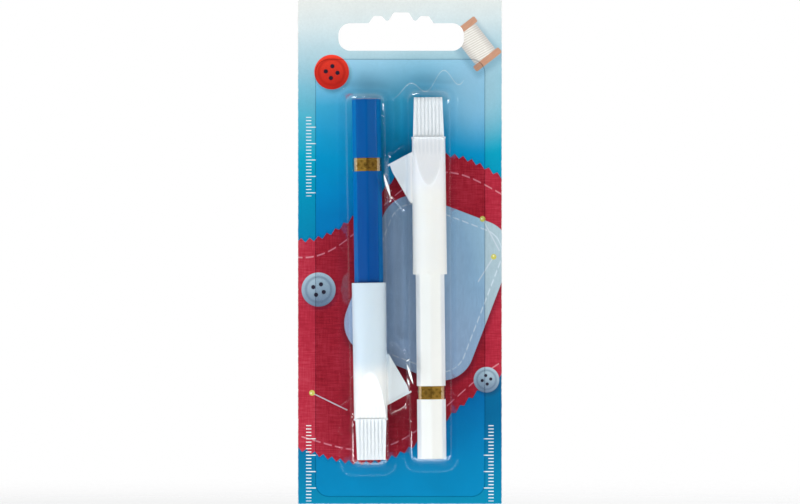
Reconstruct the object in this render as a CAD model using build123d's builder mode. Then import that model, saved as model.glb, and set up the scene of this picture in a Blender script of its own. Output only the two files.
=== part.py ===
from build123d import *
import math
import os

os.makedirs("parts", exist_ok=True)

# A carded blister pack with two chalk pencils. Millimetres.
# The pack hangs upright: X to the right, Z up, the printed face looks along -Y.
# The origin is where a shop peg carries the pack: the middle of the hang hole's
# highest edge, half way through the card.

# ---- card ----
CARD_LEFT, CARD_RIGHT = -31.5, 30.7
CARD_TOP, CARD_BOTTOM = 3.8, -149.9
CARD_T = 0.5
CARD_CORNER = 0.5
HOLE_HALF_W = 19.15  # the hang hole is 38.3 wide
HOLE_BOTTOM = -11.7
HOLE_SHOULDER = -3.3
HOLE_END_R = 3.6

# ---- blister ----
SHEET = 0.3  # thickness of the clear sheet
SEAT = CARD_T / 2 + 0.05  # back of the sealing flange, in front of the card's middle
FLANGE_LEFT, FLANGE_RIGHT = -26.2, 25.6
FLANGE_TOP, FLANGE_BOTTOM = -14.2, -147.7
FLANGE_CORNER = 4.2
POCKET_H = 11.25  # outer height of the two long pockets over the flange's back
BULGE_H = 7.2  # the same for the low bulges over the cap fins
POCKET_EDGE = 1.6  # rounding of the pockets' roof edges
BULGE_EDGE = 0.9
BULGE_DRAFT = 11.0  # degrees
# Corners as (x, z), from top left, clockwise
LEFT_BASE = [(-19.6, -23.2), (-2.7, -23.2), (-1.5, -140.4), (-18.6, -140.4)]
LEFT_ROOF = [(-16.9, -25.2), (-4.9, -25.2), (-3.9, -138.2), (-15.0, -138.2)]
RIGHT_BASE = [(0.0, -22.0), (16.7, -22.0), (17.1, -139.2), (1.1, -139.2)]
RIGHT_ROOF = [(1.7, -24.2), (14.9, -24.2), (15.4, -137.2), (2.5, -137.2)]
# The upper bulge's roof; the lower one is the same turned half round TURN
BULGE_ROOF = [
    (-4.9, -44.1),
    (-4.9, -49.3),
    (-3.0, -56.9),
    (0.8, -62.1),
    (4.5, -62.1),
    (4.5, -38.6),
    (-0.7, -40.9),
]
TURN = (-0.3, -81.2)

# ---- a pencil, along its own axis from its plain end ----
AXIS_Y = -5.75  # how far in front of the card's middle both axes lie
PENCIL_L = 83.0  # plain end to point
PENCIL_R = 4.45  # corner radius of the eight-sided lacquered body
PENCIL_ROUND = 1.0
LACQUER_T = 0.1
CORE_R = 2.3
POINT_R = 0.4
SHARPEN_L = 17.0  # length of the sharpened cone
BAND_FROM, BAND_L, BAND_T = 18.1, 4.0, 0.07

# ---- the brush cap, on the same axis ----
MOUTH = 56.0  # the cap's mouth
COLLAR = 97.3  # where the body ends and the brush starts
TIP = 109.8  # ends of the bristles
CAP_R, CAP_R_COLLAR = 5.2, 5.05
BORE_R = 4.5
BORE_L = 14.0
BORE_END, BORE_END_R = 86.0, 1.5
FLAT_FROM, FLAT_DEPTH = 82.8, 3.3  # the two slanted flats
FIN_T = 1.0
FIN = [(4.3, 75.2), (11.2, 87.4), (11.9, 89.74), (4.3, 93.7)]
FIN_TIP_R = 0.9
RIM_W, RIM_T, RIM_L = 0.5, 1.7, 9.3  # thick rim along the fin's short edge
PLUG_W, PLUG_D, PLUG_L = 8.2, 2.2, 4.4
COLLAR_W, COLLAR_D, COLLAR_T = 10.4, 4.6, 0.5
BRUSH_W, BRUSH_D = 9.4, 3.3
BRUSH_TIP_W, BRUSH_TIP_D = 8.6, 2.8
COLUMNS, ROWS, SLOT, GAP = 8, 3, 0.32, 0.44

# Plain end (x, z), brush end (x, z), and the side that the fin points to
BLUE_ENDS = ((-10.64, -26.4), (-9.05, -136.2))
WHITE_ENDS = ((9.36, -135.85), (8.16, -26.05))

FRONT = Plane.XZ  # its normal is -Y, so an offset moves towards the viewer


def unit_plane(ends, fin_side):
    """A plane across a pencil at its plain end, x towards the fin, z along the pencil."""
    (x0, z0), (x1, z1) = ends
    along = Vector(x1 - x0, 0, z1 - z0).normalized()
    side = Vector(fin_side, 0, 0)
    side = (side - along * side.dot(along)).normalized()
    return Plane(origin=(x0, AXIS_Y, z0), x_dir=side, z_dir=along)


def lengthwise(unit):
    """The plane through the pencil's axis that holds the fin: x across, y along."""
    return Plane(origin=unit.origin, x_dir=unit.x_dir, z_dir=-unit.y_dir)


def sideways(unit):
    """The plane through the axis at right angles to the fin: x depth, y along."""
    return Plane(origin=unit.origin, x_dir=unit.y_dir, z_dir=unit.x_dir)


def cone_profile(radius):
    """Half of what the sharpener leaves, with a body of this radius."""
    slope = (PENCIL_R - POINT_R) / SHARPEN_L
    return [
        (0, 0),
        (radius, 0),
        (radius, PENCIL_L - (radius - POINT_R) / slope),
        (POINT_R, PENCIL_L),
        (0, PENCIL_L),
    ]


def start_of(inset):
    """The outer skin starts inside the flange and the hollow starts behind it."""
    return SEAT - 0.2 if inset else SEAT + SHEET / 2


def mound(base, roof, inset, base_r, roof_r, edge_r):
    """A drafted pocket between two outlines, smaller all round by inset."""
    top = SEAT + POCKET_H - inset
    with BuildPart() as solid:
        for outline, at, corner in (
            (base, start_of(inset), base_r),
            (roof, top, roof_r),
        ):
            with BuildSketch(FRONT.offset(at)) as outer:
                with BuildLine():
                    Polyline(*outline, close=True)
                make_face()
                fillet(outer.vertices(), corner)
                if inset:
                    offset(amount=-inset, kind=Kind.INTERSECTION)
        loft()
        fillet(solid.faces().sort_by(Axis.Y)[0].edges(), edge_r)
    return solid.part


def bulge(roof, inset):
    """A low drafted bulge over a fin, drawn by its roof outline."""
    with BuildPart() as solid:
        with BuildSketch(FRONT.offset(start_of(inset))) as outline:
            with BuildLine():
                Polyline(*roof, close=True)
            make_face()
            offset(amount=1.3, kind=Kind.INTERSECTION)
            fillet(outline.vertices(), 2.0)
            if inset:
                offset(amount=-inset, kind=Kind.INTERSECTION)
        extrude(amount=SEAT + BULGE_H - inset - start_of(inset), taper=BULGE_DRAFT)
        fillet(solid.faces().sort_by(Axis.Y)[0].edges(), BULGE_EDGE - inset)
    return solid.part


def pockets(inset):
    """The two long pockets and the two bulges, one for each side of the sheet."""
    lower = [(2 * TURN[0] - x, 2 * TURN[1] - z) for x, z in BULGE_ROOF]
    edge = POCKET_EDGE - inset
    return [
        mound(LEFT_BASE, LEFT_ROOF, inset, 4.0, 3.0, edge),
        mound(RIGHT_BASE, RIGHT_ROOF, inset, 4.0, 3.0, edge),
        bulge(BULGE_ROOF, inset),
        bulge(lower, inset),
    ]


# ---------------------------------------------------------------- the card
with BuildPart() as card:
    with BuildSketch(FRONT.offset(-CARD_T / 2)):
        with Locations(((CARD_LEFT + CARD_RIGHT) / 2, (CARD_TOP + CARD_BOTTOM) / 2)):
            RectangleRounded(
                CARD_RIGHT - CARD_LEFT, CARD_TOP - CARD_BOTTOM, CARD_CORNER
            )
    extrude(amount=CARD_T)
    # The hang hole: a long slot with three humps along its upper edge
    with BuildSketch(FRONT.offset(-CARD_T / 2)) as hole:
        with BuildLine():
            Polyline(
                (-HOLE_HALF_W, HOLE_BOTTOM),
                (-HOLE_HALF_W, HOLE_SHOULDER),
                (-9.9, HOLE_SHOULDER),
                (-8.4, -1.1),
                (-5.9, -1.1),
                (-4.2, -3.0),
                (-2.3, 0.0),
                (2.3, 0.0),
                (4.2, -3.0),
                (5.9, -1.1),
                (8.4, -1.1),
                (9.9, HOLE_SHOULDER),
                (HOLE_HALF_W, HOLE_SHOULDER),
                (HOLE_HALF_W, HOLE_BOTTOM),
                close=True,
            )
        make_face()
        fillet(hole.vertices().filter_by(lambda v: abs(v.X) > 15), HOLE_END_R)
        fillet(hole.vertices().filter_by(lambda v: abs(v.X) < 10), 0.75)
    extrude(amount=CARD_T, mode=Mode.SUBTRACT)
card.part.label = "backing_card"
export_step(card.part, "parts/backing_card.step")

# ------------------------------------------------------------- the blister
outside, inside = pockets(0), pockets(SHEET)
with BuildPart() as blister:
    with BuildSketch(FRONT.offset(SEAT)):
        with Locations(
            ((FLANGE_LEFT + FLANGE_RIGHT) / 2, (FLANGE_TOP + FLANGE_BOTTOM) / 2)
        ):
            RectangleRounded(
                FLANGE_RIGHT - FLANGE_LEFT, FLANGE_TOP - FLANGE_BOTTOM, FLANGE_CORNER
            )
    extrude(amount=SHEET)
    for solid in outside:
        add(solid)
    for solid in inside:
        add(solid, mode=Mode.SUBTRACT)
blister.part.label = "blister_shell"
export_step(blister.part, "parts/blister_shell.step")


# ------------------------------------------------------- pencils and caps
def make_pencil(name, unit):
    long_plane = lengthwise(unit)
    axis = Axis(unit.origin, unit.z_dir)

    with BuildPart() as core:
        with BuildSketch(long_plane):
            with BuildLine():
                Polyline(*cone_profile(CORE_R), close=True)
            make_face()
        revolve(axis=axis)
    core.part.label = f"{name}_chalk_core"
    export_step(core.part, f"parts/{name}_chalk_core.step")

    # Two grooved slats, glued round the core, seam parallel to the card
    wood_r = PENCIL_R - LACQUER_T / math.cos(math.pi / 8)
    for side, label in ((1, "front"), (-1, "back")):
        with BuildPart() as slat:
            with BuildSketch(unit) as section:
                RegularPolygon(wood_r, 8)
                fillet(section.vertices(), PENCIL_ROUND - LACQUER_T)
                Circle(CORE_R, mode=Mode.SUBTRACT)
                with Locations((0, -side * PENCIL_R)):
                    Rectangle(4 * PENCIL_R, 2 * PENCIL_R, mode=Mode.SUBTRACT)
            extrude(amount=PENCIL_L)
            with BuildSketch(long_plane):
                with BuildLine():
                    Polyline(*cone_profile(PENCIL_R), close=True)
                make_face()
            revolve(axis=axis, mode=Mode.INTERSECT)
        slat.part.label = f"{name}_casing_{label}"
        export_step(slat.part, f"parts/{name}_casing_{label}.step")

    with BuildPart() as lacquer:
        with BuildSketch(unit) as section:
            RegularPolygon(PENCIL_R, 8)
            fillet(section.vertices(), PENCIL_ROUND)
        extrude(amount=PENCIL_L)
        with BuildSketch(unit) as section:
            RegularPolygon(wood_r, 8)
            fillet(section.vertices(), PENCIL_ROUND - LACQUER_T)
        extrude(amount=PENCIL_L, mode=Mode.SUBTRACT)
        with BuildSketch(long_plane):
            with BuildLine():
                Polyline(*cone_profile(PENCIL_R), close=True)
            make_face()
        revolve(axis=axis, mode=Mode.INTERSECT)
    lacquer.part.label = f"{name}_lacquer_coat"
    export_step(lacquer.part, f"parts/{name}_lacquer_coat.step")

    with BuildPart() as band:
        with BuildSketch(unit.offset(BAND_FROM)) as section:
            RegularPolygon(PENCIL_R + BAND_T / math.cos(math.pi / 8), 8)
            fillet(section.vertices(), PENCIL_ROUND + BAND_T)
        extrude(amount=BAND_L)
        with BuildSketch(unit.offset(BAND_FROM)) as section:
            RegularPolygon(PENCIL_R, 8)
            fillet(section.vertices(), PENCIL_ROUND)
        extrude(amount=BAND_L, mode=Mode.SUBTRACT)
    band.part.label = f"{name}_gold_band"
    export_step(band.part, f"parts/{name}_gold_band.step")


def make_cap(name, unit):
    long_plane, side_plane = lengthwise(unit), sideways(unit)
    axis = Axis(unit.origin, unit.z_dir)
    half_collar = CAP_R - FLAT_DEPTH

    with BuildPart() as body:
        with BuildSketch(long_plane) as profile:
            with BuildLine():
                Polyline(
                    (BORE_R, MOUTH),
                    (CAP_R, MOUTH),
                    (CAP_R_COLLAR, COLLAR),
                    (0, COLLAR),
                    (0, BORE_END),
                    (BORE_END_R, BORE_END),
                    (BORE_R, MOUTH + BORE_L),
                    close=True,
                )
            make_face()
            lip = unit.origin + unit.x_dir * CAP_R + unit.z_dir * MOUTH
            fillet(profile.vertices().sort_by_distance(lip)[0], 0.3)
        revolve(axis=axis)
        # Slanted flats on the front and the back
        for way in (1, -1):
            with BuildSketch(side_plane):
                with BuildLine():
                    Polyline(
                        (way * CAP_R, FLAT_FROM),
                        (way * half_collar, COLLAR),
                        (way * half_collar, COLLAR + 1),
                        (way * (CAP_R + 1), COLLAR + 1),
                        (way * (CAP_R + 1), FLAT_FROM),
                        close=True,
                    )
                make_face()
            extrude(amount=CAP_R + 1, both=True, mode=Mode.SUBTRACT)
        # The fin
        with BuildSketch(long_plane) as fin:
            with BuildLine():
                Polyline(*FIN, close=True)
            make_face()
            tip = unit.origin + unit.x_dir * 12.0 + unit.z_dir * 88.6
            fillet(fin.vertices().sort_by_distance(tip)[:2], FIN_TIP_R)
        extrude(amount=FIN_T / 2, both=True)
        # Its thick rim runs a little past the tip
        (u0, s0), (u1, s1) = FIN[3], FIN[2]
        run = math.hypot(u1 - u0, s1 - s0)
        du, ds = (u1 - u0) / run, (s1 - s0) / run
        with BuildSketch(long_plane) as rim:
            with BuildLine():
                Polyline(
                    (u0, s0),
                    (u0 + du * RIM_L, s0 + ds * RIM_L),
                    (u0 + du * RIM_L + ds * RIM_W, s0 + ds * RIM_L - du * RIM_W),
                    (u0 + ds * RIM_W, s0 - du * RIM_W),
                    close=True,
                )
            make_face()
            end = unit.origin + unit.x_dir * (u0 + du * RIM_L) + unit.z_dir * (s0 + ds * RIM_L)
            fillet(rim.vertices().sort_by_distance(end)[:2], RIM_W * 0.4)
        extrude(amount=RIM_T / 2, both=True)
        # Socket for the brush
        with BuildSketch(unit.offset(COLLAR - PLUG_L)):
            Rectangle(PLUG_W, PLUG_D)
        extrude(amount=PLUG_L, mode=Mode.SUBTRACT)
    body.part.label = f"{name}_cap_body"
    export_step(body.part, f"parts/{name}_cap_body.step")

    with BuildPart() as brush:
        with BuildSketch(unit.offset(COLLAR - PLUG_L + 0.1)) as foot:
            Rectangle(PLUG_W - 0.1, PLUG_D - 0.1)
        extrude(amount=PLUG_L - 0.1)
        # Grooves between the plug's ribs
        with BuildSketch(unit.offset(COLLAR - PLUG_L + 0.1)):
            for y in (PLUG_D / 2 - 0.05, -PLUG_D / 2 + 0.05):
                with Locations((0, y)):
                    with GridLocations(1.2, 1, 7, 1):
                        Rectangle(0.4, 0.7)
        extrude(amount=PLUG_L - 0.1, mode=Mode.SUBTRACT)
        # Collar plate, a little wider than the body, with pointed ends
        with BuildSketch(unit.offset(COLLAR)) as plate:
            with BuildLine():
                Polyline(
                    (-COLLAR_W / 2, 0),
                    (-COLLAR_W / 2 + 0.9, COLLAR_D / 2),
                    (COLLAR_W / 2 - 0.9, COLLAR_D / 2),
                    (COLLAR_W / 2, 0),
                    (COLLAR_W / 2 - 0.9, -COLLAR_D / 2),
                    (-COLLAR_W / 2 + 0.9, -COLLAR_D / 2),
                    close=True,
                )
            make_face()
            fillet(plate.vertices(), 0.3)
        extrude(amount=COLLAR_T)
        # One tapered block, cut into rows of bristles; the middle row is staggered
        with BuildSketch(unit.offset(COLLAR + COLLAR_T)):
            Rectangle(BRUSH_W, BRUSH_D)
        with BuildSketch(unit.offset(TIP)):
            Rectangle(BRUSH_TIP_W, BRUSH_TIP_D)
        loft()
        pitch = BRUSH_TIP_W / COLUMNS + 0.04
        row_pitch = BRUSH_TIP_D / ROWS + 0.08
        with BuildSketch(unit.offset(COLLAR + COLLAR_T)):
            with GridLocations(1, row_pitch, 1, ROWS - 1):
                Rectangle(BRUSH_W + 1, SLOT)
            with GridLocations(pitch, row_pitch / 2 + BRUSH_D, COLUMNS - 1, 2):
                Rectangle(GAP, BRUSH_D - row_pitch / 2)
            with GridLocations(pitch, 1, COLUMNS, 1):
                Rectangle(GAP, row_pitch)
        extrude(amount=TIP - COLLAR, mode=Mode.SUBTRACT)
    brush.part.label = f"{name}_brush_insert"
    export_step(brush.part, f"parts/{name}_brush_insert.step")


for pencil_name, ends, fin_side in (
    ("blue", BLUE_ENDS, 1),
    ("white", WHITE_ENDS, -1),
):
    plane = unit_plane(ends, fin_side)
    make_pencil(pencil_name, plane)
    make_cap(pencil_name, plane)
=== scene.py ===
import math

import bmesh
import bpy
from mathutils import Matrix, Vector


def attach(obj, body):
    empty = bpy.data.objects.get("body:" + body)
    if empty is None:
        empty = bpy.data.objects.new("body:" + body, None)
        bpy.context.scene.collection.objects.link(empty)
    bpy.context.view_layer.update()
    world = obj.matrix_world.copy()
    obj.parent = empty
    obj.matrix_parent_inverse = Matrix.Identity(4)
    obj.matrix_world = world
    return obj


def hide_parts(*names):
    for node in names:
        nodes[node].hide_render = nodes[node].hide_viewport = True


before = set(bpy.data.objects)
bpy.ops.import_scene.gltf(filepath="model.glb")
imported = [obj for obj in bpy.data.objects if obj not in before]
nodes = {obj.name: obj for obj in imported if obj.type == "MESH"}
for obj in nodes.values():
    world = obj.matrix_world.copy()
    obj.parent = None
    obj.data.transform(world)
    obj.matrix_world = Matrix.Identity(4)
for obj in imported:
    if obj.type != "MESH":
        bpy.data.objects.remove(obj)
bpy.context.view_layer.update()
scene = bpy.context.scene

# A carded blister pack with two chalk pencils. Metres; X right, Z up, the
# printed face looks along -Y. The origin is the top of the hang hole.

MM = 0.001
CARD_FRONT = -0.25 * MM
FLANGE = (-26.2, 25.6, -14.2, -147.7, 4.2)  # left, right, top, bottom, corner
AXIS_Y = -5.75
BLUE_ENDS = ((-10.64, -26.4), (-9.05, -136.2))  # plain end, brush end, as (x, z)
WHITE_ENDS = ((9.36, -135.85), (8.16, -26.05))


def lin(r, g, b, gain=1.0):
    """An 8-bit sRGB colour as linear RGBA, scaled."""
    out = []
    for c in (r, g, b):
        c /= 255
        c = c / 12.92 if c <= 0.04045 else ((c + 0.055) / 1.055) ** 2.4
        out.append(min(c * gain, 1.0))
    return (*out, 1.0)


# ------------------------------------------------------------ material maker
class Value:
    """A number in a material: a socket, or a plain number folded in Python."""

    def __init__(self, maker, it):
        self.maker, self.it = maker, it

    def op(self, kind, *others):
        return self.maker.math(kind, self, *others)

    def __add__(self, o):
        return self.op("ADD", o)

    __radd__ = __add__

    def __sub__(self, o):
        return self.op("SUBTRACT", o)

    def __rsub__(self, o):
        return self.maker.math("SUBTRACT", o, self)

    def __mul__(self, o):
        return self.op("MULTIPLY", o)

    __rmul__ = __mul__

    def __truediv__(self, o):
        return self.op("DIVIDE", o)

    def __pow__(self, o):
        return self.op("POWER", o)

    def __neg__(self):
        return self.op("MULTIPLY", -1.0)

    def __abs__(self):
        return self.op("ABSOLUTE")


class Maker:
    def __init__(self, name):
        self.mat = bpy.data.materials.new(name)
        self.mat.use_nodes = True
        self.tree = self.mat.node_tree
        self.tree.nodes.clear()
        self.out = self.node("ShaderNodeOutputMaterial")
        self.bsdf = None
        self._xyz = None

    def node(self, kind, **props):
        n = self.tree.nodes.new(kind)
        for k, v in props.items():
            setattr(n, k, v)
        return n

    def link(self, a, b):
        self.tree.links.new(a, b)

    def put(self, socket, value):
        if isinstance(value, Value):
            value = value.it
        if isinstance(value, bpy.types.NodeSocket):
            self.link(value, socket)
        else:
            socket.default_value = value

    def math(self, kind, *args, clamp=False):
        n = self.node("ShaderNodeMath", operation=kind, use_clamp=clamp)
        for i, a in enumerate(args):
            self.put(n.inputs[i], a)
        return Value(self, n.outputs[0])

    # -- where we are, in millimetres
    def xyz(self):
        if self._xyz is None:
            at = self.node("ShaderNodeTexCoord").outputs["Object"]
            scale = self.node("ShaderNodeVectorMath", operation="SCALE")
            self.link(at, scale.inputs[0])
            scale.inputs["Scale"].default_value = 1000.0
            sep = self.node("ShaderNodeSeparateXYZ")
            self.link(scale.outputs[0], sep.inputs[0])
            self._xyz = [Value(self, s) for s in sep.outputs]
        return self._xyz

    def vec(self, x, y, z):
        n = self.node("ShaderNodeCombineXYZ")
        for s, v in zip(n.inputs, (x, y, z)):
            self.put(s, v)
        return n.outputs[0]

    def noise(self, vector, scale, detail=2.0, rough=0.5, distort=0.0):
        n = self.node("ShaderNodeTexNoise")
        self.put(n.inputs["Vector"], vector)
        n.inputs["Scale"].default_value = scale
        n.inputs["Detail"].default_value = detail
        n.inputs["Roughness"].default_value = rough
        n.inputs["Distortion"].default_value = distort
        return Value(self, n.outputs["Fac"])

    def step(self, value, lo, hi, a=0.0, b=1.0, smooth=True):
        """From a at lo to b at hi."""
        n = self.node(
            "ShaderNodeMapRange",
            interpolation_type="SMOOTHSTEP" if smooth else "LINEAR",
        )
        n.clamp = True
        for name, v in (
            ("Value", value),
            ("From Min", lo),
            ("From Max", hi),
            ("To Min", a),
            ("To Max", b),
        ):
            self.put(n.inputs[name], v)
        return Value(self, n.outputs["Result"])

    def mx(self, a, b):
        return self.math("MAXIMUM", a, b)

    def mn(self, a, b):
        return self.math("MINIMUM", a, b)

    def mix(self, fac, a, b, blend="MIX"):
        n = self.node("ShaderNodeMix", data_type="RGBA", blend_type=blend)
        n.clamp_factor = True
        self.put(n.inputs["Factor"], fac)
        self.put([s for s in n.inputs if s.name == "A" and s.type == "RGBA"][0], a)
        self.put([s for s in n.inputs if s.name == "B" and s.type == "RGBA"][0], b)
        return [s for s in n.outputs if s.type == "RGBA"][0]

    def scaled(self, col, value):
        """A colour made brighter or darker by a number that varies."""
        n = self.node("ShaderNodeVectorMath", operation="SCALE")
        self.put(n.inputs[0], col)
        self.put(n.inputs["Scale"], value)
        return n.outputs[0]

    def ramp(self, fac, stops):
        n = self.node("ShaderNodeValToRGB")
        self.put(n.inputs["Fac"], fac)
        els = n.color_ramp.elements
        while len(els) > 1:
            els.remove(els[-1])
        els[0].position, els[0].color = stops[0]
        for pos, col in stops[1:]:
            e = els.new(pos)
            e.color = col
        return n.outputs["Color"]

    def principled(self, **values):
        n = self.node("ShaderNodeBsdfPrincipled")
        for k, v in values.items():
            self.put(n.inputs[k.replace("_", " ")], v)
        self.link(n.outputs["BSDF"], self.out.inputs["Surface"])
        self.bsdf = n
        return n

    def bump(self, height, strength=0.3, distance=0.05):
        """Relief of this height field; distance in millimetres."""
        n = self.node("ShaderNodeBump")
        n.inputs["Strength"].default_value = strength
        n.inputs["Distance"].default_value = distance * MM
        self.put(n.inputs["Height"], height)
        self.link(n.outputs["Normal"], self.bsdf.inputs["Normal"])
        return n

    # -- shapes in the plane, as signed distances in millimetres
    def length(self, a, b):
        return self.math("SQRT", a * a + b * b)

    def turned(self, x, z, cx, cz, deg):
        c, s = math.cos(math.radians(deg)), math.sin(math.radians(deg))
        dx, dz = x - cx, z - cz
        return dx * c + dz * s, dz * c - dx * s

    def disc(self, x, z, cx, cz, r):
        return self.length(x - cx, z - cz) - r

    def slab(self, u, v, hu, hv, r):
        """A rectangle with rounded corners, in its own coordinates."""
        qu, qv = abs(u) - (hu - r), abs(v) - (hv - r)
        out = self.length(self.mx(qu, 0.0), self.mx(qv, 0.0))
        return out + self.mn(self.mx(qu, qv), 0.0) - r

    def tri(self, x, period, height):
        """A zigzag of this period and height."""
        t = self.math("PINGPONG", x, period / 2)
        return t * (2 * height / period)


def pencil_axes(maker, ends, fin_side):
    """Across the pencil towards the fin, depth, and along from its plain end."""
    (x0, z0), (x1, z1) = ends
    long = Vector((x1 - x0, 0, z1 - z0)).normalized()
    side = Vector((fin_side, 0, 0))
    side = (side - long * side.dot(long)).normalized()
    x, y, z = maker.xyz()
    dx, dz = x - x0, z - z0
    return (
        dx * side.x + dz * side.z,
        y - AXIS_Y,
        dx * long.x + dz * long.z,
    )


def use(material, *names):
    for n in names:
        o = nodes[n]
        o.data.materials.clear()
        o.data.materials.append(material)


# ------------------------------------------------------------------ the card
OPEN = 0.72  # the studio light is bright enough to need darker inks outside the sheet


def printed_card():
    m = Maker("card_print")
    x, y, z = m.xyz()
    left, right, top, bottom, r = FLANGE
    cx, cz = (left + right) / 2, (top + bottom) / 2
    rim = m.slab(x - cx, z - cz, (right - left) / 2, (top - bottom) / 2, r)
    # Inside the flange's outline the print is painted in other tones, deeper crimson and stronger blue:
    # painted shade and light for how the clear sheet holds back and tints the light
    painted_sheet_shade = m.step(rim, 0.05, -0.25)

    # Ground: a pale top that deepens to teal and blue
    drift = m.noise(m.vec(x, 0.0, z), 0.035, 1.0) - 0.5
    level = m.step(z + drift * 7.0 + x * -0.05, 3.8, -149.9, smooth=False)
    outer = m.ramp(
        level,
        [
            (0.0, lin(242, 246, 243, OPEN)),
            (0.045, lin(226, 241, 244, OPEN)),
            (0.085, lin(198, 228, 238, OPEN)),
            (0.16, lin(134, 202, 224, OPEN)),
            (0.23, lin(80, 191, 219, OPEN)),
            (0.30, lin(10, 176, 210, OPEN)),
            (0.37, lin(1, 156, 196, OPEN)),
            (0.55, lin(2, 128, 180, OPEN)),
            (0.83, lin(2, 108, 160, OPEN)),
            (0.91, lin(2, 126, 174, OPEN)),
            (1.0, lin(2, 142, 184, OPEN)),
        ],
    )
    # ground tones inside the flange: painted shade and light for the sheet over them
    inner = m.ramp(
        level,
        [
            (0.0, lin(214, 232, 240)),
            (0.12, lin(150, 202, 224)),
            (0.20, lin(66, 172, 210)),
            (0.26, lin(26, 158, 204)),
            (0.30, lin(2, 149, 198)),
            (0.37, lin(1, 136, 192)),
            (0.42, lin(2, 124, 184)),
            (0.60, lin(2, 108, 170)),
            (0.80, lin(2, 106, 166)),
            (0.86, lin(2, 122, 178)),
            (0.92, lin(2, 124, 172)),
            (1.0, lin(2, 130, 178)),
        ],
    )
    ground = m.mix(painted_sheet_shade, outer, inner)
    # A soft pale cloud at the upper right
    cloud = m.step(m.disc(x, z, 24.0, -24.0, 0.0), 20.0, 3.0)
    # the cloud gets its own tone inside the flange: painted shade for the sheet over it
    pale = m.mix(painted_sheet_shade, lin(186, 220, 234, OPEN), lin(168, 206, 226))
    col = m.mix(cloud * 0.6, ground, pale)

    # Thread reel, upper right
    u, v = m.turned(x, z, 22.6, -9.6, 38.0)
    shade = m.step(m.slab(u + 0.6, v + 1.2, 5.0, 7.4, 1.2), 1.6, -0.8)
    col = m.mix(shade * 0.35, col, lin(60, 110, 140))
    body = m.slab(u, v, 3.9, 5.2, 0.9)
    turn = m.math("SINE", (v + u * 0.16) * 9.0)
    thread = m.mix(turn * 0.5 + 0.5, lin(222, 216, 206, 0.8), lin(252, 250, 244, 0.8))
    thread = m.mix(m.step(abs(u), 1.4, 3.9) * 0.5, thread, lin(186, 178, 176, 0.7))
    col = m.mix(m.step(body, 0.12, -0.12), col, thread)
    ends = m.slab(u, abs(v) - 6.0, 4.9, 1.0, 0.5)
    grain = m.noise(m.vec(u * 0.4, v * 3.0, 0.0), 1.2, 3.0)
    wood = m.mix(grain, lin(190, 132, 104, 0.8), lin(222, 176, 148, 0.8))
    col = m.mix(m.step(ends, 0.12, -0.12), col, wood)

    # A loose white thread from the reel
    path = m.math("SINE", x * 0.62) * (x * 0.09 + 1.5) + (x * 0.30 - 24.2)
    strand = m.step(abs(z - path), 0.26, 0.10)
    strand = strand * m.step(x, -4.0, 2.0) * m.step(x, 19.5, 18.5)
    col = m.mix(strand * 0.6, col, lin(214, 234, 242, 0.9))

    # Crimson linen with pinked edges, in a wavy band
    top_line = m.math("SINE", x * 0.085 + 0.7) * 9.0 + (x * 0.20 - 55.5)
    low_line = m.math("SINE", x * 0.075 - 1.2) * 8.0 + (x * 0.30 - 127.5)
    top_edge = top_line + m.tri(x + 50.0, 2.6, 1.3)
    low_edge = low_line + m.tri(x + 51.0, 2.6, 1.3)
    inside = m.mn(top_edge - z, z - low_edge)
    threads_h = m.noise(m.vec(x * 0.22, 0.0, z * 2.6), 1.0, 2.0, 0.6)
    threads_v = m.noise(m.vec(x * 2.6, 0.0, z * 0.22), 1.0, 2.0, 0.6)
    weave = threads_h * 0.6 + threads_v * 0.4
    fold = m.noise(m.vec(x, 0.0, z), 0.05, 1.5)
    tone = weave * 0.7 + fold * 0.3
    # linen painted deeper inside the flange, as painted shade under the sheet
    linen = m.mix(
        painted_sheet_shade,
        m.ramp(
            tone,
            [
                (0.32, lin(156, 32, 48, OPEN)),
                (0.50, lin(192, 46, 68, OPEN)),
                (0.68, lin(212, 76, 94, OPEN)),
            ],
        ),
        m.ramp(
            tone,
            [
                (0.32, lin(116, 16, 28)),
                (0.50, lin(156, 30, 46)),
                (0.68, lin(182, 54, 72)),
            ],
        ),
    )
    shade = m.step(inside + 1.4, 0.0, 1.8)
    col = m.mix(shade * 0.35, col, lin(0, 52, 96))
    col = m.mix(m.step(inside, -0.1, 0.1), col, linen)

    # Running stitches along the band's edges
    # stitches painted deeper inside the flange, as painted shade under the sheet
    pink = m.mix(painted_sheet_shade, lin(232, 150, 162, OPEN), lin(206, 122, 138))
    for edge, phase in ((top_line - z, 0.0), (z - low_line, 1.3)):
        seam = m.step(abs(edge - 4.6), 0.32, 0.14)
        dash = m.step(m.math("PINGPONG", x + (50.0 + phase), 1.7), 0.42, 0.58)
        col = m.mix(seam * dash * 0.85, col, pink)

    # A grey-blue patch with rounded corners behind the pencils
    u, v = m.turned(x, z, 8.0, -84.0, -21.0)
    patch = m.slab(u, v, 20.5, 25.5, 10.0)
    shade = m.step(m.slab(u - 0.5, v + 1.3, 20.5, 25.5, 10.0), 1.6, -0.6)
    col = m.mix(shade * 0.5, col, lin(52, 14, 30))
    weft = m.noise(m.vec(x * 2.2, 0.0, z * 0.3), 1.0, 2.0)
    across = m.step(u * 0.5 + v * 0.6 + drift * 14.0, -24.0, 24.0, smooth=False)
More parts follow.
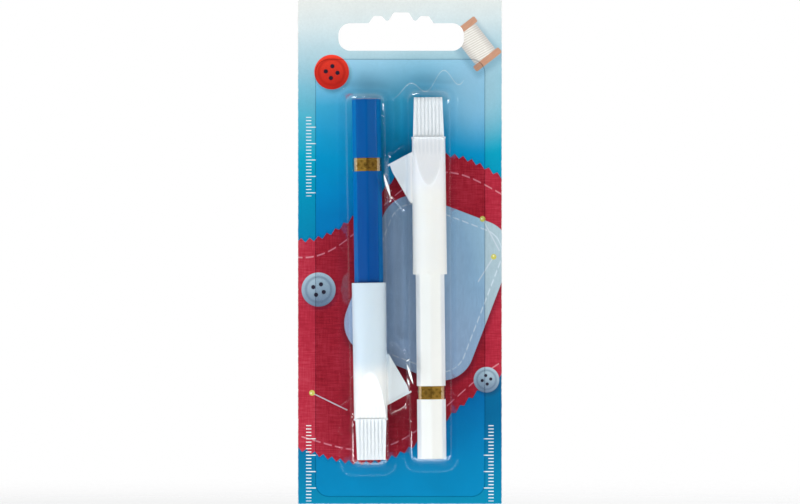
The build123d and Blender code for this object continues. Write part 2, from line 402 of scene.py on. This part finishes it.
    # cloth tones inside the flange: painted shade for the sheet over them
    cloth = m.mix(
        painted_sheet_shade,
        m.ramp(
            across,
            [
                (0.0, lin(150, 168, 190, OPEN)),
                (0.5, lin(160, 184, 200, OPEN)),
                (1.0, lin(178, 202, 212, OPEN)),
            ],
        ),
        m.ramp(
            across,
            [
                (0.0, lin(152, 171, 198)),
                (0.45, lin(136, 159, 185)),
                (0.75, lin(128, 160, 186)),
                (1.0, lin(150, 184, 200)),
            ],
        ),
    )
    cloth = m.scaled(cloth, (weft - 0.5) * 0.3 + 1.12)
    col = m.mix(m.step(patch, 0.1, -0.1), col, cloth)
    seam = m.step(abs(patch + 2.6), 0.28, 0.12)
    dash = m.step(m.math("PINGPONG", u + v + 80.0, 1.5), 0.36, 0.52)
    col = m.mix(seam * dash * 0.7, col, lin(206, 220, 230, 0.9))

    # Buttons: a grey-blue pair on the cloth and a red one near the hole
    for cx, cz, r, deg, light, dark in (
        (-25.2, -84.5, 5.2, 20.0, (166, 188, 200), (98, 118, 142)),
        (26.0, -112.0, 3.9, 55.0, (166, 188, 200), (98, 118, 142)),
        (-21.2, -18.2, 5.3, 38.0, (232, 62, 44), (196, 38, 30)),
    ):
        u, v = m.turned(x, z, cx, cz, deg)
        d = m.length(u, v)
        col = m.mix(
            m.step(m.disc(x, z, cx + 0.5, cz - 0.8, r), 1.0, -0.8) * 0.4,
            col,
            lin(30, 24, 50),
        )
        face = m.mix(
            m.step(z - cz, -r, r, smooth=False), lin(*dark), lin(*light)
        )
        edge = m.step(abs(d - r * 0.74), r * 0.13, 0.05)
        face = m.mix(edge * 0.55, face, lin(*dark, 0.8))
        hole = m.length(abs(u) - r * 0.24, abs(v) - r * 0.24)
        face = m.mix(m.step(hole, r * 0.15, r * 0.1), face, lin(40, 34, 48))
        col = m.mix(m.step(d, r + 0.1, r - 0.1), col, face)

    # Pins
    for cx, cz, deg, long in (
        (24.8, -63.0, 28.0, 11.0),
        (28.2, -74.5, -32.0, 9.0),
        (-27.2, -116.0, 64.0, 12.0),
    ):
        u, v = m.turned(x, z, cx, cz, deg)
        shaft = m.slab(u, v + long / 2, 0.17, long / 2, 0.1)
        col = m.mix(m.step(shaft, 0.08, -0.08) * 0.8, col, lin(190, 200, 210))
        head = m.length(u, v)
        col = m.mix(m.step(head, 0.95, 0.75), col, lin(190, 186, 92))
        col = m.mix(
            m.step(m.length(u + 0.2, v - 0.2), 0.35, 0.1), col, lin(232, 230, 196)
        )

    # A plain scale along the edges
    for at, lo, hi, side in (
        (-29.0, -56.0, -32.0, 1),
        (-29.0, -149.0, -126.0, 1),
        (28.2, -149.0, -126.0, -1),
    ):
        t = abs(m.math("WRAP", z + 200.0, 1.0, 0.0) - 0.5)
        five = abs(m.math("WRAP", z + 200.0, 5.0, 0.0) - 2.5)
        length = m.step(five, 2.0, 2.1, 1.6, 3.0)
        reach = (x - at) * side
        tick = m.step(t, 0.5 - 0.17, 0.5 - 0.11)
        tick = tick * m.step(reach, -0.05, 0.05) * m.step(reach - length, 0.05, -0.05)
        tick = tick * m.step(z, lo - 0.1, lo) * m.step(z, hi + 0.2, hi + 0.1)
        col = m.mix(tick, col, lin(248, 252, 252, 0.75))

    # Halftone and slight ink unevenness
    ink = m.noise(m.vec(x, y, z), 1.8, 3.0, 0.6)
    mottle = m.noise(m.vec(x, y, z), 0.12, 2.0)
    col = m.scaled(col, (ink - 0.5) * 0.16 + (mottle - 0.5) * 0.1 + 1.0)

    # Bare carton at the edges and on the back
    fibre = m.noise(m.vec(x * 1.0, y * 6.0, z * 2.0), 1.4, 5.0, 0.7)
    speck = m.noise(m.vec(x, y, z), 3.2, 2.0)
    carton = m.mix(fibre, lin(206, 203, 196), lin(236, 234, 228))
    carton = m.mix(m.step(speck, 0.66, 0.74) * 0.3, carton, lin(150, 142, 130))
    front = m.step(y, -0.235, -0.245)
    wear = m.noise(m.vec(x, y, z), 0.9, 4.0, 0.7)
    edge = m.mn(m.mn(x + 31.5, 30.7 - x), m.mn(3.8 - z, z + 149.9))
    worn = m.step(edge + (wear - 0.5) * 0.5, 0.16, 0.02)
    shown = front * (worn * -0.8 + 1.0)
    col = m.mix(shown, carton, col)
    m.principled(
        Base_Color=col,
        Roughness=shown * -0.40 + 0.72,
        Specular_IOR_Level=0.15,
    )
    m.bump(fibre * 0.6 + wear * 0.4, 0.12, 0.03)
    return m.mat


# ---------------------------------------------------------------- clear sheet
def clear_sheet():
    m = Maker("clear_sheet")
    x, y, z = m.xyz()
    left, right, top, bottom, r = FLANGE
    cx, cz = (left + right) / 2, (top + bottom) / 2
    rim = m.slab(x - cx, z - cz, (right - left) / 2, (top - bottom) / 2, r)
    # a dark line painted round the flange's edge: painted shade for the refraction and shadow at the
    # sheet's cut edge
    painted_edge_shade = m.step(rim, -0.34, -0.12) * m.step(y, -1.0, -0.8)
    weight = m.node("ShaderNodeLayerWeight")
    weight.inputs["Blend"].default_value = 0.5
    facing = Value(m, weight.outputs["Facing"])
    reflect = m.math("POWER", facing, 5.0) * 0.30 + 0.04
    # stronger reflection painted on the crests of the bulges and on the pockets' tops: a painted
    # highlight, so the lamps' glints there come out brighter
    painted_glint_boost = m.step(z, -27.8, -26.6) * m.step(y, -7.0, -9.0) * 1.6
    for cx, cz in ((-3.95, -53.1), (3.35, -109.3)):
        u, v = m.turned(x, z, cx, cz, 14.0)
        painted_glint_boost = painted_glint_boost + m.step(m.slab(u, v, 0.4, 3.9, 0.3), 0.45, -0.15) * 2.0
    reflect = reflect * (painted_glint_boost + 1.0)
    # the highlights round the feet are painted out: reflection turned down there, so the lamps'
    # highlights stay faint
    reflect = reflect * m.step(y, -0.9, -3.0, 0.12, 1.0)
    tint = m.mix(m.step(facing, 0.35, 1.0), lin(250, 251, 252), lin(242, 246, 249))
    # the painted shade at the flange's edge darkens the sheet's tint there
    tint = m.mix(painted_edge_shade * 0.20, tint, lin(110, 124, 134))
    # light scatters on through the walls, so they cast next to no shadow
    way = m.node("ShaderNodeLightPath")
    tint = m.mix(way.outputs["Is Shadow Ray"], tint, lin(250, 251, 252))
    through = m.node("ShaderNodeBsdfTransparent")
    m.put(through.inputs["Color"], tint)
    gloss = m.node("ShaderNodeBsdfGlossy")
    gloss.inputs["Roughness"].default_value = 0.06
    gloss.inputs["Color"].default_value = (1, 1, 1, 1)
    ripple = m.noise(m.vec(x, y, z * 0.5), 0.22, 2.0)
    fine = m.noise(m.vec(x, y, z), 1.4, 2.0)
    b = m.node("ShaderNodeBump")
    b.inputs["Strength"].default_value = 0.35
    b.inputs["Distance"].default_value = 0.4 * MM
    m.put(b.inputs["Height"], ripple + fine * 0.06)
    m.link(b.outputs["Normal"], gloss.inputs["Normal"])
    both = m.node("ShaderNodeMixShader")
    m.put(both.inputs[0], reflect)
    m.link(through.outputs[0], both.inputs[1])
    m.link(gloss.outputs[0], both.inputs[2])
    # white streaks painted where each bulge was drawn down into the next pocket: painted glints,
    # standing in for the lamps' reflections there
    painted_glint = None
    for cx, cz, deg, half, wide in (
        (-4.24, -53.0, 16.3, 3.7, 0.42),
        (-3.30, -57.6, -40.0, 0.5, 0.14),
        (2.65, -110.0, 17.5, 3.2, 0.34),
        (2.17, -112.5, 16.0, 1.1, 0.20),
        (2.00, -105.9, -53.0, 0.7, 0.14),
    ):
        u, v = m.turned(x, z, cx, cz, deg)
        t = v * (1.0 / half)
        mark = m.step(abs(u) + t * t * wide - wide, 0.07, -0.09)
        painted_glint = mark if painted_glint is None else m.mx(painted_glint, mark)
    painted_glint = painted_glint * m.step(y, -3.6, -5.2) * m.step(fine, 0.2, 0.5, 0.66, 0.90)
    white = m.node("ShaderNodeBsdfDiffuse")
    white.inputs["Color"].default_value = (0.97, 0.98, 0.99, 1)
    last = m.node("ShaderNodeMixShader")
    m.put(last.inputs[0], painted_glint)
    m.link(both.outputs[0], last.inputs[1])
    m.link(white.outputs[0], last.inputs[2])
    m.link(last.outputs[0], m.out.inputs["Surface"])
    return m.mat


# ------------------------------------------------------------------- pencils
def lacquer(name, ends, fin_side, base, dark, outer_facet_light, coat):
    m = Maker(name)
    u, v, s = pencil_axes(m, ends, fin_side)
    flow = m.noise(m.vec(u, v, s * 0.12), 0.9, 3.0)
    pits = m.noise(m.vec(u, v, s), 3.0, 2.0)
    col = m.mix(flow * 0.5 + m.step(s, 0.0, 55.0, 0.5, 0.0), dark, base)
    # the two outer facets are painted paler: painted reflection, for light the lamps don't give there
    col = m.mix(m.step(abs(u), 3.0, 3.3) * 0.45, col, outer_facet_light)
    # a dull rim where the saw met the paint
    end = m.step(s + (pits - 0.5) * 0.5, 0.35, 0.1)
    col = m.mix(end * 0.35, col, lin(210, 205, 200))
    m.principled(
        Base_Color=col,
        Roughness=pits * 0.12 + 0.24,
        Specular_IOR_Level=0.15,
        Coat_Weight=coat,
        Coat_Roughness=0.12,
    )
    m.bump(flow * 0.7 + pits * 0.15, 0.10, 0.12)
    return m.mat


def cedar(name, ends, fin_side):
    m = Maker(name)
    u, v, s = pencil_axes(m, ends, fin_side)
    grain = m.noise(m.vec(u * 1.6, v * 1.6, s * 0.07), 1.0, 4.0, 0.6, 0.4)
    pores = m.noise(m.vec(u * 7.0, v * 7.0, s * 0.5), 1.0, 2.0)
    col = m.ramp(
        grain,
        [
            (0.30, lin(150, 96, 66)),
            (0.50, lin(196, 140, 102)),
            (0.72, lin(222, 174, 136)),
        ],
    )
    col = m.mix(m.step(pores, 0.58, 0.72) * 0.5, col, lin(116, 70, 46))
    m.principled(Base_Color=col, Roughness=0.62, Specular_IOR_Level=0.3)
    m.bump(grain * 0.5 + pores * 0.5, 0.35, 0.06)
    return m.mat


def chalk(name, ends, fin_side, light, dark):
    m = Maker(name)
    u, v, s = pencil_axes(m, ends, fin_side)
    grit = m.noise(m.vec(u, v, s), 4.5, 4.0, 0.7)
    cloud = m.noise(m.vec(u, v, s), 0.8, 2.0)
    col = m.mix(grit * 0.6 + cloud * 0.4, dark, light)
    m.principled(Base_Color=col, Roughness=0.9, Specular_IOR_Level=0.15)
    m.bump(grit, 0.5, 0.06)
    return m.mat


def foil(name, ends, fin_side):
    """Gold foil with a stamped border and a plain twisted-cord pattern."""
    m = Maker(name)
    u, v, s = pencil_axes(m, ends, fin_side)
    across = m.math("ARCTAN2", u, -v) * 4.4
    mid = s - 20.1
    cord = m.math("SINE", across * 2.6 + mid * 2.4)
    counter = m.math("SINE", across * 2.6 - mid * 2.4)
    inner = m.step(abs(mid), 1.35, 1.2)
    border = m.step(abs(abs(mid) - 1.6), 0.16, 0.06)
    relief = m.mx(cord, counter) * inner * 0.5 + border
    rub = m.noise(m.vec(u, v, s), 1.8, 4.0, 0.65)
    col = m.mix(rub, lin(112, 78, 24), lin(190, 148, 66))
    col = m.mix(m.step(relief, 0.5, -0.3) * inner * 0.5, col, lin(60, 40, 14))
    # the inner half of each outer facet is rubbed pale, partly worn foil and partly painted light; its
    # outer half is painted bright as a painted reflection, and one of the front pair is painted darker
    # as painted shade
    painted_mirror_strip = m.step(abs(u), 3.75, 3.95)
    worn = m.step(abs(u) + (rub - 0.5) * 0.4, 2.95, 3.2) * (painted_mirror_strip * -1.0 + 1.0)
    # painted shade: one of the front facets darker
    col = m.mix(m.step(u, -0.4, 0.4) * 0.5, col, lin(70, 46, 14))
    pale = m.mix(m.step(rub, 0.35, 0.65), lin(196, 148, 96), lin(240, 212, 166))
    col = m.mix(worn * 0.9, col, pale)
    col = m.mix(painted_mirror_strip * 0.85, col, lin(236, 226, 214))
    m.principled(
        Base_Color=col,
        Metallic=worn * -0.75 + 1.0,
        Roughness=rub * 0.25 + 0.30 - painted_mirror_strip * 0.22,
    )
    m.bump(relief + rub * 0.4, 0.6, 0.05)
    return m.mat


def cap_plastic(name, ends, fin_side, sleeve, solid):
    """Milky polypropylene: what is inside the sleeve and the plug show faintly."""
    m = Maker(name)
    u, v, s = pencil_axes(m, ends, fin_side)
    cloud = m.noise(m.vec(u, v, s * 0.4), 0.35, 2.0)
    fine = m.noise(m.vec(u, v, s), 5.0, 2.0)
    streak = m.noise(m.vec(u * 1.6, v * 1.6, s * 0.05), 1.0, 2.0)
    hollow = m.step(s + (cloud - 0.5) * 2.0, 86.0, 79.0) * m.step(u, 6.2, 5.2)
    col = m.mix(hollow, solid, sleeve)
    col = m.scaled(col, (cloud - 0.5) * 0.05 + (streak - 0.5) * 0.05 + 1.0)
    # the outer part of each fin is painted cool: painted light, for the cool ground that shows through
    # the thin fin
    col = m.mix(m.step(u, 5.3, 6.0) * 0.4, col, lin(206, 224, 236))
    plug = m.step(s, 92.2, 93.6) * m.step(abs(u), 4.3, 3.9)
    ribs = m.step(m.math("PINGPONG", u + 20.6, 0.6), 0.12, 0.42)
    col = m.mix(plug * ribs * 0.2, col, lin(196, 206, 214))
    # the moulded edge round each slanted flat, painted white along it as a painted highlight
    drop = (s - 82.8) * (3.3 / 14.5)
    g = abs(abs(v) + drop - 5.2)
    edge = m.step(g, 0.30, 0.06) * m.step(m.length(u, v), 4.75, 5.1)
    edge = edge * m.step(s, 82.0, 84.5)
    col = m.mix(edge * 0.8, col, lin(255, 255, 255))
    m.principled(
        Base_Color=col,
        Roughness=fine * 0.1 + 0.33,
        Specular_IOR_Level=0.35,
        Subsurface_Weight=0.25,
        Subsurface_Radius=(1.0, 0.9, 0.8),
        Subsurface_Scale=1.2 * MM,
    )
    m.bump(cloud * 0.8 + fine * 0.12 + edge * 0.8, 0.14, 0.12)
    return m.mat


def bristle_plastic(name, ends, fin_side):
    m = Maker(name)
    u, v, s = pencil_axes(m, ends, fin_side)
    fine = m.noise(m.vec(u * 3.0, v * 3.0, s * 0.25), 1.0, 2.0)
    col = m.mix(fine, lin(232, 236, 238), lin(255, 255, 254))
    # the gaps between the bristles are made to glow, and a faint glow varies over the whole insert:
    # painted light, for the light the thin bristles pass on, so the gaps stay pale
    painted_gap_glow = m.step(abs(v), 1.30, 1.05) * m.step(s, 95.0, 95.6) * m.step(s, 109.6, 109.3)
    m.principled(
        Base_Color=col,
        Emission_Color=lin(236, 242, 246),
        Emission_Strength=painted_gap_glow * 0.15 + (fine - 0.5) * 0.02,
        Roughness=0.38,
        Specular_IOR_Level=0.4,
        Subsurface_Weight=0.2,
        Subsurface_Radius=(1.0, 0.95, 0.9),
        Subsurface_Scale=0.8 * MM,
    )
    m.bump(fine, 0.25, 0.05)
    return m.mat


# ------------------------------------------------------------ the formed sheet
# Corners as (x, z) in millimetres, of the long pockets and the low bulges
LEFT_FOOT = [(-19.6, -23.2), (-2.7, -23.2), (-1.5, -140.4), (-18.6, -140.4)]
LEFT_ROOF = [(-16.9, -25.2), (-4.9, -25.2), (-3.9, -138.2), (-15.0, -138.2)]
RIGHT_FOOT = [(0.0, -22.0), (16.7, -22.0), (17.1, -139.2), (1.1, -139.2)]
RIGHT_ROOF = [(1.7, -24.2), (14.9, -24.2), (15.4, -137.2), (2.5, -137.2)]
BULGE_TOP = [
    (-4.9, -44.1),
    (-4.9, -49.3),
    (-3.0, -56.9),
    (0.8, -62.1),
    (4.5, -62.1),
    (4.5, -38.6),
    (-0.7, -40.9),
]
BULGE_LOW = [(-0.6 - x, -162.4 - z) for x, z in BULGE_TOP]
SKIN, FOOT, ROOF, BULGE_ROOF = 0.6, 0.45, 11.55, 7.5  # in front of the card's middle
SHEET_T = 0.3
GRAIN = 0.53  # the remesh's cell


def inset(corners, amount):
    """The outline moved inwards by this much on every side."""
    pts = [Vector(c) for c in corners]
    n = len(pts)
    area = sum(pts[i - 1].x * pts[i].y - pts[i].x * pts[i - 1].y for i in range(n))
    way = 1 if area > 0 else -1
    out = []
    for i in range(n):
        e = (pts[i] - pts[i - 1]).normalized()
        f = (pts[(i + 1) % n] - pts[i]).normalized()
        ne, nf = Vector((-e.y, e.x)) * way, Vector((-f.y, f.x)) * way
        out.append(pts[i] + (ne + nf) * (amount / (1 + ne.dot(nf))))
    return out


def ring(bm, corners, radius, depth, steps=8):
    """A closed outline with rounded corners, this far in front of the card."""
    verts = []
    n = len(corners)
    for i in range(n):
        a, b, c = (Vector(corners[(i + k) % n]) for k in (-1, 0, 1))
        e, f = (a - b).normalized(), (c - b).normalized()
        half = e.angle(f) / 2
        centre = b + (e + f).normalized() * (radius / math.sin(half))
        reach = radius / math.tan(half)
        first, last = b + e * reach - centre, b + f * reach - centre
        for k in range(steps + 1):
            p = centre + first.lerp(last, k / steps).normalized() * radius
            verts.append(bm.verts.new((p.x, -depth, p.y)))
    return verts


def closed_loft(bm, rings):
    for lower, upper in zip(rings, rings[1:]):
        n = len(lower)
        for i in range(n):
            k = (i + 1) % n
            bm.faces.new((lower[i], lower[k], upper[k], upper[i]))
    bm.faces.new(rings[0])
    bm.faces.new(rings[-1])


def mound(bm, foot, roof, foot_r, roof_r, edge, top, draft):
    """A drafted pocket with a rounded roof edge."""
    slope = math.radians(draft)
    rings = [ring(bm, foot, foot_r, -1.0), ring(bm, foot, foot_r, FOOT)]
    for k in range(8):
        turn = slope + (math.pi / 2 - slope) * k / 7
        high = top - edge + edge * math.sin(turn)
        t = (high - FOOT) / (top - FOOT)
        corners = [Vector(a).lerp(Vector(b), t) for a, b in zip(foot, roof)]
        more = edge * (
            1 / math.cos(slope) - math.cos(turn) - math.sin(turn) * math.tan(slope)
        )
        radius = foot_r + (roof_r - foot_r) * t - more
        rings.append(ring(bm, inset(corners, more), max(radius, 0.4), high))
    closed_loft(bm, rings)


def bulge(bm, roof):
    foot = inset(roof, -1.3)
    shrink = (BULGE_ROOF - FOOT) * math.tan(math.radians(11.0))
    mound(bm, foot, inset(foot, shrink), 2.0, 0.65, 0.9, BULGE_ROOF, 11.0)


def evaluated(mesh, kind, **settings):
    """The mesh after one modifier."""
    o = bpy.data.objects.new("work", mesh)
    scene.collection.objects.link(o)
    mod = o.modifiers.new("work", kind)
    for k, v in settings.items():
        setattr(mod, k, v)
    graph = bpy.context.evaluated_depsgraph_get()
    out = bpy.data.meshes.new_from_object(o.evaluated_get(graph))
    bpy.data.objects.remove(o)
    bpy.data.meshes.remove(mesh)
    return out


def formed_sheet():
    left, right, top, bottom, corner = FLANGE
    bm = bmesh.new()
    wide = [
        (left - 3, top + 3),
        (right + 3, top + 3),
        (right + 3, bottom - 3),
        (left - 3, bottom - 3),
    ]
    closed_loft(bm, [ring(bm, wide, corner, -3.0), ring(bm, wide, corner, SKIN)])
    mound(bm, LEFT_FOOT, LEFT_ROOF, 4.0, 3.0, 1.6, ROOF, 12.0)
    mound(bm, RIGHT_FOOT, RIGHT_ROOF, 4.0, 3.0, 1.6, ROOF, 11.0)
    bulge(bm, BULGE_TOP)
    bulge(bm, BULGE_LOW)
    bmesh.ops.recalc_face_normals(bm, faces=bm.faces)
    mesh = bpy.data.meshes.new("form")
    bm.to_mesh(mesh)
    bm.free()
    mesh = evaluated(mesh, "REMESH", mode="VOXEL", voxel_size=GRAIN)

    # Warm plastic drapes: it rounds every edge, and most of all the feet
    bm = bmesh.new()
    bm.from_mesh(mesh)
    for _ in range(4):
        bmesh.ops.smooth_vert(
            bm,
            verts=bm.verts,
            factor=0.5,
            use_axis_x=True,
            use_axis_y=True,
            use_axis_z=True,
        )
    # Only the front skin, cut to the flange's outline
    behind = [v for v in bm.verts if v.co.y > -SKIN + 0.12]
    bmesh.ops.delete(bm, geom=behind, context="VERTS")
    cuts = [
        ((left, 0, 0), (-1, 0, 0)),
        ((right, 0, 0), (1, 0, 0)),
        ((0, 0, top), (0, 0, 1)),
        ((0, 0, bottom), (0, 0, -1)),
    ]
    for sx, at_x in ((-1, left + corner), (1, right - corner)):
        for sz, at_z in ((1, top - corner), (-1, bottom + corner)):
            for k in range(8):
                a = math.radians(90 * (k + 0.5) / 8)
                way = (sx * math.cos(a), 0, sz * math.sin(a))
                at = (at_x + way[0] * corner, 0, at_z + way[2] * corner)
                cuts.append((at, way))
    for at, way in cuts:
        if way[0] * way[2]:
            near = [
                f
                for f in bm.faces
                if (f.verts[0].co.x - at[0]) * way[0] > -6.0 * abs(way[0])
                and (f.verts[0].co.z - at[2]) * way[2] > -6.0 * abs(way[2])
            ]
        else:
            near = list(bm.faces)
        edges = {e for f in near for e in f.edges}
        verts = {v for f in near for v in f.verts}
        bmesh.ops.bisect_plane(
            bm,
            geom=near + list(edges) + list(verts),
            plane_co=at,
            plane_no=way,
            clear_outer=True,
        )
    bmesh.ops.remove_doubles(bm, verts=bm.verts, dist=0.02)
    loose = [v for v in bm.verts if not v.link_faces]
    bmesh.ops.delete(bm, geom=loose, context="VERTS")
    for v in bm.verts:
        v.co *= MM
    bmesh.ops.recalc_face_normals(bm, faces=bm.faces)
    roof = max(bm.faces, key=lambda f: -f.calc_center_median().y)
    if roof.normal.y > 0:
        bmesh.ops.reverse_faces(bm, faces=bm.faces)
    bm.to_mesh(mesh)
    bm.free()
    mesh = evaluated(
        mesh, "SOLIDIFY", thickness=SHEET_T * MM, offset=-1.0, use_rim=True
    )
    mesh.name = "formed_sheet"
    mesh.polygons.foreach_set("use_smooth", [True] * len(mesh.polygons))
    mesh.set_sharp_from_angle(angle=math.radians(40))
    mesh.materials.clear()
    mesh.materials.append(clear_sheet())
    o = bpy.data.objects.new("formed_sheet", mesh)
    scene.collection.objects.link(o)
    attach(o, "blister")
    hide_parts("blister_shell")
    return o


use(printed_card(), "backing_card")
sheet = formed_sheet()
for who, ends, side in (("blue", BLUE_ENDS, 1), ("white", WHITE_ENDS, -1)):
    if who == "blue":
        paint = lacquer(
            "blue_lacquer", ends, side, lin(0, 93, 161), lin(0, 68, 144), lin(0, 136, 206), 0.10
        )
        stick = chalk("blue_chalk", ends, side, lin(124, 172, 220), lin(84, 136, 196))
        sleeve, solid = lin(217, 229, 236), lin(252, 250, 244)
    else:
        paint = lacquer(
            "white_lacquer", ends, side, lin(252, 249, 242), lin(246, 245, 239), lin(244, 248, 255), 0.25
        )
        stick = chalk("white_chalk", ends, side, lin(250, 249, 245), lin(226, 224, 218))
        sleeve, solid = lin(250, 247, 240), lin(247, 246, 246)
    use(paint, f"{who}_lacquer_coat")
    use(stick, f"{who}_chalk_core")
    use(
        cedar(f"{who}_cedar", ends, side),
        f"{who}_casing_front",
        f"{who}_casing_back",
    )
    use(foil(f"{who}_foil", ends, side), f"{who}_gold_band")
    use(
        cap_plastic(f"{who}_cap_plastic", ends, side, sleeve, solid),
        f"{who}_cap_body",
    )
    use(bristle_plastic(f"{who}_bristles", ends, side), f"{who}_brush_insert")


# ------------------------------------------------------------------- studio
FLOOR_Z = -0.178


def studio():
    floor_mesh = bpy.data.meshes.new("floor")
    bm = bmesh.new()
    bmesh.ops.create_circle(bm, cap_ends=True, segments=96, radius=1.0)
    bm.to_mesh(floor_mesh)
    bm.free()
    floor = bpy.data.objects.new("floor", floor_mesh)
    floor.location = (0, 0, FLOOR_Z)
    scene.collection.objects.link(floor)
    # A white sweep that fades into the white room
    m = Maker("studio_floor")
    x, y, z = m.xyz()
    tone = m.noise(m.vec(x, y, z), 0.004, 2.0)
    col = m.mix(tone, lin(236, 236, 236), lin(243, 243, 243))
    surface = m.principled(
        Base_Color=col,
        Roughness=0.7,
        Specular_IOR_Level=0.2,
        Emission_Color=(1, 1, 1, 1),
        Emission_Strength=0.06,
    )
    clear = m.node("ShaderNodeBsdfTransparent")
    fade = m.node("ShaderNodeMixShader")
    m.put(fade.inputs[0], m.step(m.length(x, y), 330.0, 900.0))
    m.link(surface.outputs[0], fade.inputs[1])
    m.link(clear.outputs[0], fade.inputs[2])
    m.link(fade.outputs[0], m.out.inputs["Surface"])
    floor.data.materials.append(m.mat)

    # A white background; the room itself is dim in front of the card, so that
    # the clear sheet and the lacquer stay free of haze
    world = bpy.data.worlds.new("studio")
    scene.world = world
    world.use_nodes = True
    t = world.node_tree
    t.nodes.clear()
    out = t.nodes.new("ShaderNodeOutputWorld")
    seen = t.nodes.new("ShaderNodeBackground")
    seen.inputs["Color"].default_value = (1, 1, 1, 1)
    seen.inputs["Strength"].default_value = 1.0
    room = t.nodes.new("ShaderNodeBackground")
    room.inputs["Color"].default_value = (0.97, 0.985, 1.0, 1)
    way = t.nodes.new("ShaderNodeTexCoord")
    part = t.nodes.new("ShaderNodeSeparateXYZ")
    t.links.new(way.outputs["Generated"], part.inputs[0])

    def span(value, lo, hi, a, b):
        n = t.nodes.new("ShaderNodeMapRange")
        n.interpolation_type = "SMOOTHSTEP"
        for name, v in (("From Min", lo), ("From Max", hi), ("To Min", a), ("To Max", b)):
            if isinstance(v, bpy.types.NodeSocket):
                t.links.new(v, n.inputs[name])
            else:
                n.inputs[name].default_value = v
        t.links.new(value, n.inputs["Value"])
        return n.outputs["Result"]

    below = span(part.outputs["Z"], -0.42, -0.16, 0.9, 0.006)
    ahead = span(part.outputs["Z"], 0.20, 0.50, below, 0.30)
    t.links.new(
        span(part.outputs["Y"], -0.35, 0.0, ahead, 0.55), room.inputs["Strength"]
    )
    # The lit backdrop behind the pack falls off to a pale grey round the room
    t.links.new(
        span(part.outputs["Y"], 0.90, 0.985, 0.74, 1.0), seen.inputs["Strength"]
    )
    path = t.nodes.new("ShaderNodeLightPath")
    mix = t.nodes.new("ShaderNodeMixShader")
    t.links.new(path.outputs["Is Camera Ray"], mix.inputs[0])
    t.links.new(room.outputs[0], mix.inputs[1])
    t.links.new(seen.outputs[0], mix.inputs[2])
    t.links.new(mix.outputs[0], out.inputs["Surface"])

    # The pack lies under its lights, which stand beyond its lower end; the
    # floor is only a backdrop and doesn't shut them out
    floor.visible_shadow = False
    floor.visible_diffuse = False
    floor.visible_glossy = False
    aim = Vector((0, 0, -0.075))
    cool, warm, plain = (0.93, 0.97, 1.0), (1.0, 0.985, 0.95), (1.0, 1.0, 1.0)
    blueish = (0.84, 0.93, 1.0)
    for name, at, size, power, tone in (
        ("below", (0.0, -0.90, -0.72), (1.00, 0.50), 4.9, warm),
        ("left_low", (-0.62, -0.85, -0.72), (0.90, 0.70), 1.9, cool),
        ("right_low", (0.62, -0.82, -0.70), (0.90, 0.70), 2.0, warm),
        ("top", (-0.30, -0.75, 0.70), (0.50, 0.12), 2.4, plain),
        ("side_left", (-1.05, -0.30, -0.75), (0.80, 0.70), 9.5, blueish),
        ("side_right", (1.05, -0.30, -0.75), (0.80, 0.70), 7.0, warm),
        ("glint_left", (-0.67, -0.42, -0.215), (0.32, 0.10), 1.5, cool),
        ("glint_right", (0.66, -0.40, 0.055), (0.28, 0.10), 1.2, plain),
        ("back", (0.3, 0.9, 0.5), (0.8, 0.6), 4.0, plain),
    ):
        lamp = bpy.data.lights.new(name, "AREA")
        lamp.shape = "RECTANGLE"
        lamp.size, lamp.size_y = size
        lamp.energy = power
        lamp.color = tone
        o = bpy.data.objects.new(name, lamp)
        o.location = at
        o.rotation_mode = "QUATERNION"
        o.rotation_quaternion = (aim - Vector(at)).to_track_quat("-Z", "Y")
        o.visible_camera = False
        scene.collection.objects.link(o)

    cam = bpy.data.cameras.new("camera")
    cam.type = "PERSP"
    cam.lens = 250.0
    cam.sensor_width = 36.0
    cam.clip_start, cam.clip_end = 0.05, 60.0
    o = bpy.data.objects.new("camera", cam)
    away = (800 / 3.28) * MM * cam.lens / cam.sensor_width
    o.location = (-0.366 * MM, CARD_FRONT - away, -73.05 * MM)
    o.rotation_euler = (math.radians(90), 0, 0)
    scene.collection.objects.link(o)
    scene.camera = o
    scene.view_settings.view_transform = "Standard"
    scene.view_settings.look = "None"


studio()
